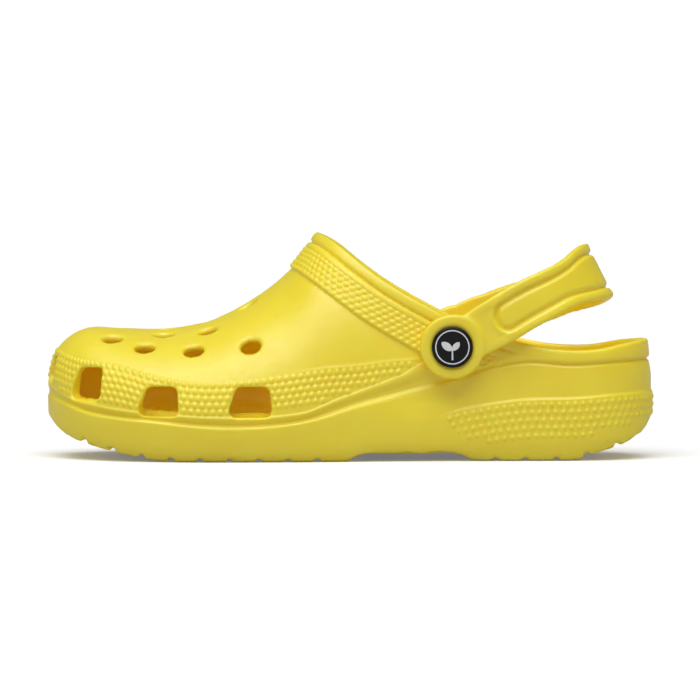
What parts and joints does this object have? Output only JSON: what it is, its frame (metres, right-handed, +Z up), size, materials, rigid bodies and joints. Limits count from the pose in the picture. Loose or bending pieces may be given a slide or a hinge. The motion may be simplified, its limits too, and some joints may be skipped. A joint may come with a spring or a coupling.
{
  "type": "garden clog",
  "caption": "Slip-on moulded foam garden clog for a left foot, with vent holes, textured bands and a heel strap that swivels on snap rivets.",
  "frame": {"origin": "on the ground, under the middle of the clog", "axes": "-X towards the toe, +X towards the heel, -Y the lateral (outer) side, +Y the medial (inner) side, +Z up"},
  "size_m": [0.2858, 0.1046, 0.1061],
  "materials": {
    "foam": "satin moulded closed-cell foam, lemon yellow",
    "rivet": "satin black",
    "badge": "smooth black",
    "badge_print": "pale grey print"
  },
  "bodies": {
    "clog": {"clog_body": "foam"},
    "strap": {"heel_strap": "foam"},
    "lateral_rivet": {"lateral_rivet_cap": "rivet", "lateral_rivet_stud": "rivet", "lateral_badge_disc": "badge", "lateral_badge_print": "badge_print"},
    "medial_rivet": {"medial_rivet_cap": "rivet", "medial_rivet_stud": "rivet", "medial_badge_disc": "badge", "medial_badge_print": "badge_print"}
  },
  "joints": [
    {"name": "strap_pivot", "type": "hinge", "parent": "clog", "child": "strap", "pos_m": [0.0475, 0, 0.0535], "axis": [0, -1, 0], "range_deg": [-6, 95]},
    {"name": "lateral_rivet_spin", "type": "hinge", "parent": "clog", "child": "lateral_rivet", "pos_m": [0.0475, -0.042, 0.0535], "axis": [0, -1, 0], "continuous": true},
    {"name": "medial_rivet_spin", "type": "hinge", "parent": "clog", "child": "medial_rivet", "pos_m": [0.0475, 0.0396, 0.0535], "axis": [0, -1, 0], "continuous": true}
  ]
}
